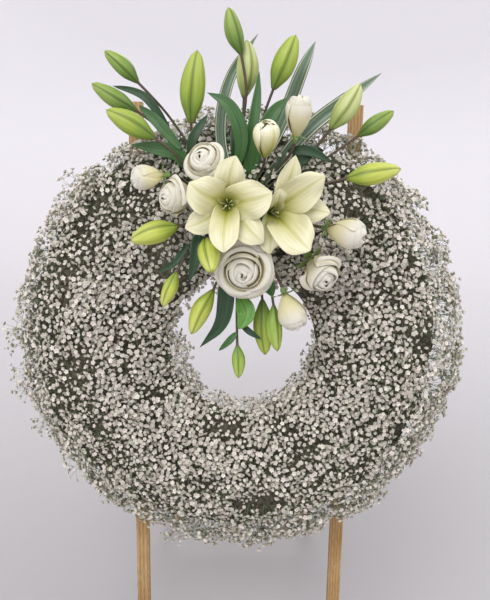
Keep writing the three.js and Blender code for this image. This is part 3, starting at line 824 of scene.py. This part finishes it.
BUD_TONES = {
    "mid": bud_skin("bud_mid_green", "5C7836", "7F9A48", "9DAF58"),
    "bright": bud_skin("bud_yellow_green", "738E38", "9DB048", "B5C25C"),
    "pale": bud_skin("bud_pale", "9FB068", "C6CD90", "D6D9A4"),
    "lime": bud_skin("bud_lime", "9AAD45", "C3CC5C", "D4D87C"),
    "fresh": bud_skin("bud_fresh_green", "7C9C42", "A0BA56", "BAC86E"),
}
TONE_OF = dict(zip(BUDS, ["mid", "pale", "bright", "pale", "mid", "lime", "fresh", "bright",
                          "fresh", "lime", "lime", "lime", "lime", "bright", "mid", "mid",
                          "bright"]))
chance = random.Random(23)
for name in BUDS:
    centres = [middle(ring) for ring in RINGS[name][STALK_RINGS:]]
    half = max(girth(ring) for ring in RINGS[name])
    seam_at = math.radians(90 + chance.uniform(-34, 34))
    _, side, front = stand(centres, 0.5)
    bend = side * chance.uniform(-0.045, 0.045) * (centres[-1] - centres[0]).length

    def skin(u, v):
        turn = u * 2 * math.pi
        gap = abs(math.sin(1.5 * turn))
        size = flow(BUD_SHAPE, v) * half
        size *= 1 - 0.15 * math.exp(-(gap / 0.17) ** 2) + 0.05 * math.exp(-((1 - gap) / 0.07) ** 2)
        way = side * math.cos(turn + seam_at) + front * math.sin(turn + seam_at)
        return flow(centres, v) + bend * math.sin(math.pi * v) + way * size

    shape = bmesh.new()
    sheet(shape, 42, 22, skin)
    bmesh.ops.remove_doubles(shape, verts=shape.verts, dist=1e-6)
    bmesh.ops.recalc_face_normals(shape, faces=shape.faces)
    made = finished(name.replace("lily_bud", "ribbed_bud"), shape, BUD_TONES[TONE_OF[name]])
    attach(made, "root")
    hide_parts(name)


# ---- Leaves --------------------------------------------------------------------------
# Lily leaves are narrow and glossy, folded along a pale midrib with veins beside it. The
# striped blades are dracaena: grey-green, stiff, with cream margins.

def leaf_skin(name, dark, light, roughness):
    made, tree, shader = material(name, roughness=roughness, specular=0.5)
    where = node(tree, "UVMap", uv_map="OFBake").outputs[0]
    spot = node(tree, "SeparateXYZ", {0: where})
    # parallel veins, eleven to a side
    veins = node(tree, "TexWave", {"Vector": where, "Scale": 6.9, "Distortion": 0.6, "Detail": 1},
                 wave_type="BANDS", bands_direction="X")
    _, green = streaks(tree, where, 9, 3, (0.3, dark), (0.7, light))
    fine = node(tree, "ValToRGB", {"Fac": veins.outputs["Fac"]}, stops=[
        (0.0, "DDE6D2"), (0.7, "FFFFFF")])
    rib = node(tree, "ValToRGB", {"Fac": spot.outputs["X"]}, stops=[
        (0.455, "FFFFFF"), (0.488, "C7D6A8"), (0.5, "8FA678"), (0.512, "C7D6A8"), (0.545, "FFFFFF")])
    veined = node(tree, "Mix", {0: 0.7, 6: green, 7: fine.outputs[0]},
                  data_type="RGBA", blend_type="MULTIPLY")
    ribbed = node(tree, "Mix", {0: 0.9, 6: veined.outputs[2], 7: rib.outputs[0]},
                  data_type="RGBA", blend_type="MULTIPLY")
    coat(tree, shader, ribbed.outputs[2], veins.outputs["Fac"], 0.25, 0.0005)
    return made


def walled(made, thickness, rounded=True):
    """Gives a sheet a wall of so many millimetres, and rounds it off where asked."""
    wall = made.modifiers.new("thickness", "SOLIDIFY")
    wall.thickness, wall.offset = thickness * MM, 0
    if rounded:
        smooth = made.modifiers.new("smooth", "SUBSURF")
        smooth.levels = smooth.render_levels = 1


dark_leaf = leaf_skin("lily_leaf_dark", "1F3A24", "2F5230", 0.42)
green_leaf = leaf_skin("lily_leaf_green", "30582F", "4A733B", 0.42)
bright_leaf = leaf_skin("lily_leaf_young", "4F8233", "6FA045", 0.45)
LEAF_THICKNESS = 0.6
LEAF_SHAPE = [0.28, 0.6, 0.86, 1.0, 1.0, 0.88, 0.66, 0.36, 0.0]


def leaf(name, finish, points, width, fold, ripple=0.06, node_name=None, half_shape=LEAF_SHAPE):
    """A leaf along a line of points, folded up along its midrib and rippled at its edge."""
    def skin(u, v):
        spot, across, out = stand(points, v)
        side, half = 2 * u - 1, flow(half_shape, v) * width / 2
        lift = fold * abs(side) + ripple * side * abs(side) * math.sin(9 * v + 2.3 * side)
        return spot + (across * side * (1 - 0.35 * fold * abs(side)) + out * lift) * half

    shape = bmesh.new()
    made = sheet(shape, 8, 22, skin)
    bmesh.ops.remove_doubles(shape, verts=made, dist=1e-6)
    made = finished(name, shape, finish)
    walled(made, LEAF_THICKNESS, rounded=False)
    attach(made, "root")
    if node_name:
        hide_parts(node_name)
    return made


def spine(name):
    found = rings(name, 6)
    return [middle(ring) for ring in found], 2 * max(girth(ring) for ring in found)


for name, finish, fold in [
        ("leaf_upper_left", green_leaf, 0.25), ("leaf_upper_middle", green_leaf, 0.45),
        ("leaf_upper_right", green_leaf, 0.3), ("leaf_far_left", green_leaf, 0.2),
        ("leaf_lower_left", dark_leaf, 0.35), ("leaf_hanging", dark_leaf, 0.3)]:
    points, width = spine(name)
    leaf(name.replace("leaf_", "lily_leaf_"), finish, points, width, fold, node_name=name)

# Small leaves on the bud stalks: finish, points in the wreath's plane, width in millimetres.
STALK_LEAVES = [
    ("bud_15", dark_leaf, [(-120, 372, 88), (-162, 431, 92), (-218, 450, 82)], 15),
    ("bud_17", dark_leaf, [(-92, 344, 98), (-82, 372, 104), (-61, 406, 98)], 18),
    ("bud_11", dark_leaf, [(-92, 196, 112), (-112, 168, 122), (-142, 148, 118)], 13),
    ("bud_09_bright", bright_leaf, [(-6, 108, 108), (6, 84, 126), (-6, 56, 130)], 34),
    ("bud_09_dark", dark_leaf, [(-3, 62, 108), (12, 50, 118), (33, 36, 116)], 12),
    ("bud_09_small", green_leaf, [(-9, 46, 110), (-22, 32, 114), (-40, 12, 108)], 13),
    ("bud_07", green_leaf, [(30, 152, 118), (42, 134, 130), (50, 112, 126)], 24),
    ("bud_05", dark_leaf, [(70, 350, 100), (104, 350, 110), (142, 334, 104)], 18),
    ("bud_14", green_leaf, [(-104, 350, 100), (-142, 392, 98), (-176, 420, 82)], 20),
    ("foam_top", dark_leaf, [(-8, 322, 92), (-12, 356, 106), (-22, 392, 100)], 26),
    ("foam_right", dark_leaf, [(62, 312, 84), (96, 340, 98), (120, 360, 92)], 24),
]
for name, finish, points, width in STALK_LEAVES:
    leaf(f"stalk_leaf_{name}", finish, [at(*point) for point in points], width * MM, 0.25)

striped, tree, shader = material("striped_dracaena", roughness=0.4)
where = node(tree, "UVMap", uv_map="OFBake").outputs[0]
spot = node(tree, "SeparateXYZ", {0: where})
stripes = node(tree, "ValToRGB", {"Fac": spot.outputs["X"]}, stops=[
    (0.0, "39503C"), (0.05, "39503C"), (0.07, "DDE0C4"), (0.13, "E4E6CE"), (0.16, "536B55"),
    (0.3, "6A7F6B"), (0.36, "93A58F"), (0.4, "5F7762"), (0.6, "6A806C"), (0.7, "8A9D86"),
    (0.84, "536B55"), (0.87, "E4E6CE"), (0.93, "DDE0C4"), (0.95, "39503C"), (1.0, "39503C")])
_, fine = streaks(tree, where, 60, 3, (0.3, "C2CCBE"), (0.65, "FFFFFF"))
veined = node(tree, "Mix", {0: 0.9, 6: stripes.outputs[0], 7: fine},
              data_type="RGBA", blend_type="MULTIPLY")
tree.links.new(veined.outputs[2], shader.inputs["Base Color"])
BLADE_SHAPE = [0.5, 0.78, 0.94, 1.0, 1.0, 0.94, 0.78, 0.45, 0.0]
for name in ("striped_blade_left", "striped_blade_middle", "striped_blade_right"):
    points, width = spine(name)
    leaf(name.replace("striped_", "dracaena_"), striped, points, width, 0.35, 0.02, name, BLADE_SHAPE)


# ---- Lilies --------------------------------------------------------------------------
# Each open lily has six thick, waxy tepals: three narrow outer ones and three broad inner
# ones with a grooved midrib, cream with a yellow-green throat. The filaments are short.

def tepal_skin(name, heart, throat, belly, tip):
    made, tree, shader = material(name, roughness=0.5, specular=0.35)
    where = node(tree, "UVMap", uv_map="OFBake").outputs[0]
    spot = node(tree, "SeparateXYZ", {0: where})
    from_rib = node(tree, "Math", {0: spot.outputs["X"], 1: 0.5}, operation="SUBTRACT")
    aside = node(tree, "Math", {0: from_rib.outputs[0]}, operation="ABSOLUTE")
    # the green runs further up the midrib than at the edges
    reach = node(tree, "Math", {0: aside.outputs[0], 1: 0.5, 2: spot.outputs["Y"]},
                 operation="MULTIPLY_ADD")
    base = node(tree, "ValToRGB", {"Fac": reach.outputs[0]}, stops=[
        (0.0, heart), (0.2, heart), (0.34, throat), (0.55, belly), (0.85, tip), (1.0, tip)])
    rib = node(tree, "ValToRGB", {"Fac": aside.outputs[0]}, stops=[
        (0.0, "E6E8C6"), (0.03, "F2F2DE"), (0.08, "FFFFFF")])
    veins, fine = streaks(tree, where, 40, 2, (0.3, "E9E9DA"), (0.6, "FFFFFF"))
    ribbed = node(tree, "Mix", {0: 0.8, 6: base.outputs[0], 7: rib.outputs[0]},
                  data_type="RGBA", blend_type="MULTIPLY")
    veined = node(tree, "Mix", {0: 0.8, 6: ribbed.outputs[2], 7: fine},
                  data_type="RGBA", blend_type="MULTIPLY")
    coat(tree, shader, veined.outputs[2], veins, 0.35, 0.0006)
    shader.inputs["Subsurface Weight"].default_value = 0.12
    shader.inputs["Subsurface Radius"].default_value = (0.004, 0.004, 0.002)
    shader.inputs["Subsurface Scale"].default_value = 1.0
    return made


lily_cream = tepal_skin("lily_tepal", "869338", "B2B45C", "D3CF9E", "DEDAB9")
TEPAL_SHAPE = [0.24, 0.46, 0.74, 0.94, 1.02, 1.02, 0.9, 0.62, 0.0]
TEPAL_CUP = [1.5, 0.9, 0.55, 0.34, 0.2, 0.1, 0.0, -0.1, -0.1]


def tepal(shape, heart, axis, angle, reach, height, width, phase, sway):
    """One tepal: up out of the throat, then over and out to its tip, bent a little aside."""
    outward = clock(angle)
    flat = TO_WREATH @ heart
    tip = at(flat.x, flat.z, height) + outward * reach * MM
    line = [heart - axis * 3 * MM + outward * 4 * MM,
            heart + axis * 34 * MM + outward * 10 * MM,
            tip - outward * 0.45 * reach * MM + axis * 8 * MM + outward.cross(axis) * sway * MM, tip]
    look = (axis - outward * 0.8).normalized()

    def bezier(t):
        s = 1 - t
        return (line[0] * s ** 3 + line[1] * 3 * s * s * t + line[2] * 3 * s * t * t
                + line[3] * t ** 3)

    def skin(u, v):
        along = (bezier(v + 0.01) - bezier(v - 0.01)).normalized()
        across = look.cross(along).normalized()
        out = along.cross(across)
        side, half = 2 * u - 1, flow(TEPAL_SHAPE, v) * width / 2 * MM
        lift = flow(TEPAL_CUP, v) * side * side
        lift -= 0.10 * math.exp(-(side / 0.12) ** 2) * (1 - v)
        lift += RIPPLE * abs(side) ** 2 * math.sin(11 * v + phase + 2.6 * side) * min(v * 3, 1)
        return bezier(v) + (across * side * (1 - 0.2 * flow(TEPAL_CUP, v)) + out * lift) * half

    made = sheet(shape, 12, 16, skin)
    bmesh.ops.remove_doubles(shape, verts=made, dist=1e-6)


# Clock angle, reach, height in front of the ring, width; broad inner tepals come second.
LILIES = {
    "lily_left": ((-26, 263, 122), clock(0, 88), [
        (10, 78, 178, 46), (134, 82, 184, 46), (242, 76, 172, 42),
        (72, 73, 200, 58), (182, 70, 214, 44), (302, 68, 192, 58)]),
    "lily_right": ((39, 251, 122), clock(75, 62), [
        (23, 99, 176, 34), (88, 96, 180, 44), (176, 64, 170, 40),
        (54, 102, 208, 52), (129, 81, 222, 58), (22, 44, 178, 24)]),
}
filament, tree, shader = material("lily_filament", roughness=0.5)
spot = node(tree, "SeparateXYZ", {0: node(tree, "UVMap", uv_map="OFBake").outputs[0]})
shade = node(tree, "ValToRGB", {"Fac": spot.outputs["Y"]}, stops=[
    (0.0, "8E9C48"), (0.6, "C6CC96"), (1.0, "DADBB6")])
tree.links.new(shade.outputs[0], shader.inputs["Base Color"])
FULLNESS, RIPPLE, MOST_SWAY = 1.07, 0.27, 12
TEPAL_THICKNESS = 0.9
FILAMENTS = 6
chance = random.Random(31)
for name, (throat, axis, tepals) in LILIES.items():
    heart = at(*throat)
    petals = bmesh.new()
    for angle, reach, height, width in tepals:
        tepal(petals, heart, axis, angle, reach, height, width * FULLNESS, chance.uniform(0, 6),
              chance.uniform(-MOST_SWAY, MOST_SWAY))
    petals = finished(name.replace("lily_", "lily_tepals_"), petals, lily_cream)
    walled(petals, TEPAL_THICKNESS)
    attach(petals, "root")
    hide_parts(name)
    heart_parts = bmesh.new()
    side = axis.orthogonal().normalized()
    for i in range(FILAMENTS + 1):
        # the filaments stand round the pistil, which is the last
        is_filament = i < FILAMENTS
        way = Matrix.Rotation(i * math.pi / 3 + chance.uniform(-0.2, 0.2), 3, axis) @ side
        spread, tall = (chance.uniform(8, 13), chance.uniform(30, 36)) if is_filament else (4, 40)
        tube(heart_parts, [heart, heart + axis * tall * 0.5 * MM + way * spread * 0.3 * MM,
                           heart + axis * tall * MM + way * spread * MM],
             [0.9 * MM, 0.8 * MM, (1.0 if is_filament else 2.0) * MM], 6, 8)
    heart_parts = finished(name.replace("lily_", "lily_filaments_"), heart_parts, filament)
    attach(heart_parts, "root")


# ---- Roses and the opening lily ------------------------------------------------------
# White garden roses: thin, velvety petals wrapped round a tight cone, the outer ones
# rolled back at the lip. They are cream, and yellower deep in the heart.

def petal_skin(name, base, heart, belly, rim):
    made, tree, shader = material(name, roughness=0.6, specular=0.25)
    where = node(tree, "UVMap", uv_map="OFBake").outputs[0]
    spot = node(tree, "SeparateXYZ", {0: where})
    length = node(tree, "ValToRGB", {"Fac": spot.outputs["Y"]}, stops=[
        (0.0, base), (0.3, heart), (0.62, belly), (0.94, rim), (1.0, belly)])
    veins, fine = streaks(tree, where, 26, 3, (0.3, "ECE9DF"), (0.65, "FFFFFF"))
    veined = node(tree, "Mix", {0: 0.3, 6: length.outputs[0], 7: fine},
                  data_type="RGBA", blend_type="MULTIPLY")
    coat(tree, shader, veined.outputs[2], veins, 0.08, 0.0005)
    shader.inputs["Subsurface Weight"].default_value = 0.4
    shader.inputs["Subsurface Radius"].default_value = (0.008, 0.007, 0.005)
    shader.inputs["Subsurface Scale"].default_value = 1.0
    return made


rose_white = petal_skin("rose_petal", "DCD08C", "EDE1AC", "F1EACF", "F3EEDC")
lily_opening_skin = tepal_skin("opening_lily_tepal", "B2B860", "D6D48A", "E9E4B4", "F0ECD2")


def cup_petal(shape, cup, angle, half_turn, size, tall, close, flare, curl, pointed=0.0, grid=(8, 8)):
    """One petal on a flower's cup: how wide it wraps, its size and height, and its lip."""
    base, axis, length, radius, side, front = cup

    def skin(u, v):
        s = 2 * u - 1
        top = max(0.0, (v - 0.5) / 0.5)
        wrap = half_turn * (0.45 + 0.55 * math.sin(min(v * 1.6, 1) * math.pi / 2))
        wrap *= 1 - 0.25 * top ** 3 * (1 - pointed) - pointed * top ** 1.6 * 0.97
        turn = math.radians(angle + s * wrap)
        out = math.sin(min(v / 0.55, 1) * math.pi / 2) ** 0.8
        out = size * (0.1 + 0.9 * out) * (1 - close * top ** 1.6) + flare * top ** 1.5
        lip = max(0.0, (v - 0.8) / 0.2) ** 2
        out += curl * lip + 0.05 * s * (1 - 0.5 * top) + 0.035 * math.sin(2.4 * s + angle) * top
        rise = tall * (math.sin(v * math.pi / 2) - 0.16 * s * s * top * (1 - pointed))
        rise -= curl * 0.9 * lip
        way = side * math.cos(turn) + front * math.sin(turn)
        return base + axis * rise * length + way * out * radius

    made = sheet(shape, *grid, skin)
    bmesh.ops.remove_doubles(shape, verts=made, dist=1e-6)


PETAL_THICKNESS = 0.5
# Rings of petals from the heart out: how many, half their wrap in degrees, size, height,
# then how far they close, flare and curl, as shares of the cup.
TIGHT = [(2, 130, 0.5, 0.98, 0.82, 0, 0), (2, 125, 0.74, 1.0, 0.72, 0, 0.02),
         (3, 104, 0.94, 0.97, 0.58, 0, 0.06), (2, 92, 1.0, 0.86, 0.36, 0.02, 0.1)]
HALF = [(2, 125, 0.4, 1.0, 0.8, 0, 0), (3, 112, 0.56, 1.0, 0.62, 0, 0.02),
        (3, 100, 0.76, 0.97, 0.42, 0, 0.05), (3, 90, 0.9, 0.9, 0.16, 0.04, 0.08),
        (2, 84, 0.88, 0.74, 0, 0.2, 0.08)]
FULL = [(2, 130, 0.30, 1.0, 0.85, 0, 0), (3, 112, 0.41, 1.0, 0.62, 0, 0.02),
        (3, 100, 0.54, 0.98, 0.42, 0, 0.04), (3, 94, 0.66, 0.93, 0.2, 0.02, 0.06),
        (3, 84, 0.72, 0.85, 0.0, 0.15, 0.08), (4, 68, 0.73, 0.72, 0.0, 0.27, 0.07),
        (4, 60, 0.74, 0.56, 0.0, 0.36, 0.05)]
OPENING = [(3, 75, 0.8, 0.98, 0.8, 0, 0), (3, 80, 0.97, 1.0, 0.72, 0.02, 0.03)]
OPENNESS = {"rose_far_left": TIGHT, "rose_upper_left": HALF, "rose_left": HALF,
            "rose_upper_right": TIGHT, "rose_right": TIGHT, "rose_lower_right": HALF,
            "rose_hanging": TIGHT, "rose_open": FULL, "lily_opening": OPENING}
chance = random.Random(41)
sepals = bmesh.new()
for name, layers in OPENNESS.items():
    head = [middle(ring) for ring in RINGS[name][STALK_RINGS:]]
    axis = (head[-1] - head[0]).normalized()
    side = axis.orthogonal().normalized()
    cup = (head[0], axis, (head[-1] - head[0]).length,
           max(girth(ring) for ring in RINGS[name]), side, axis.cross(side))
    pointed = 0.7 if name == "lily_opening" else 0.0
    # the heart of a rose sits a little to the lower left of its outer petals
    off_centre = (8 if name == "rose_open" else 3) * MM
    petals = bmesh.new()
    turn = chance.uniform(0, 360)
    for count, half_turn, size, tall, close, flare, curl in layers:
        turn += 137.5
        moved = (cup[0] + clock(225) * off_centre * (1 - size), *cup[1:])
        for i in range(count):
            cup_petal(petals, moved, turn + 360 * i / count + chance.uniform(-14, 14),
                      half_turn * chance.uniform(0.88, 1.08), size * chance.uniform(0.95, 1.04),
                      tall * chance.uniform(0.95, 1.03), close, flare, curl * chance.uniform(0.5, 1.5),
                      pointed)
    petals = finished(f"petals_{name}", petals, lily_opening_skin if pointed else rose_white)
    walled(petals, PETAL_THICKNESS)
    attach(petals, "root")
    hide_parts(name)
    if pointed:
        continue
    # the green hip and its five sepals under each rose
    hip = 0.2 * cup[3]
    tube(sepals, [head[0] - axis * 0.010, head[0] - axis * 0.004, head[0] + axis * 0.004],
         [0.003, hip, hip * 0.8], 10, 8)
    for i in range(5):
        cup_petal(sepals, cup, 72 * i + turn, 26, 0.45, 0.03, 0, 0.4, 0.05, 1.0, grid=(4, 6))
bmesh.ops.recalc_face_normals(sepals, faces=sepals.faces)
sepal_green, _, shader = material("rose_sepal", roughness=0.6)
shader.inputs["Base Color"].default_value = colour("6C8546")
sepals = finished("rose_sepals", sepals, sepal_green)
walled(sepals, PETAL_THICKNESS, rounded=False)
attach(sepals, "root")
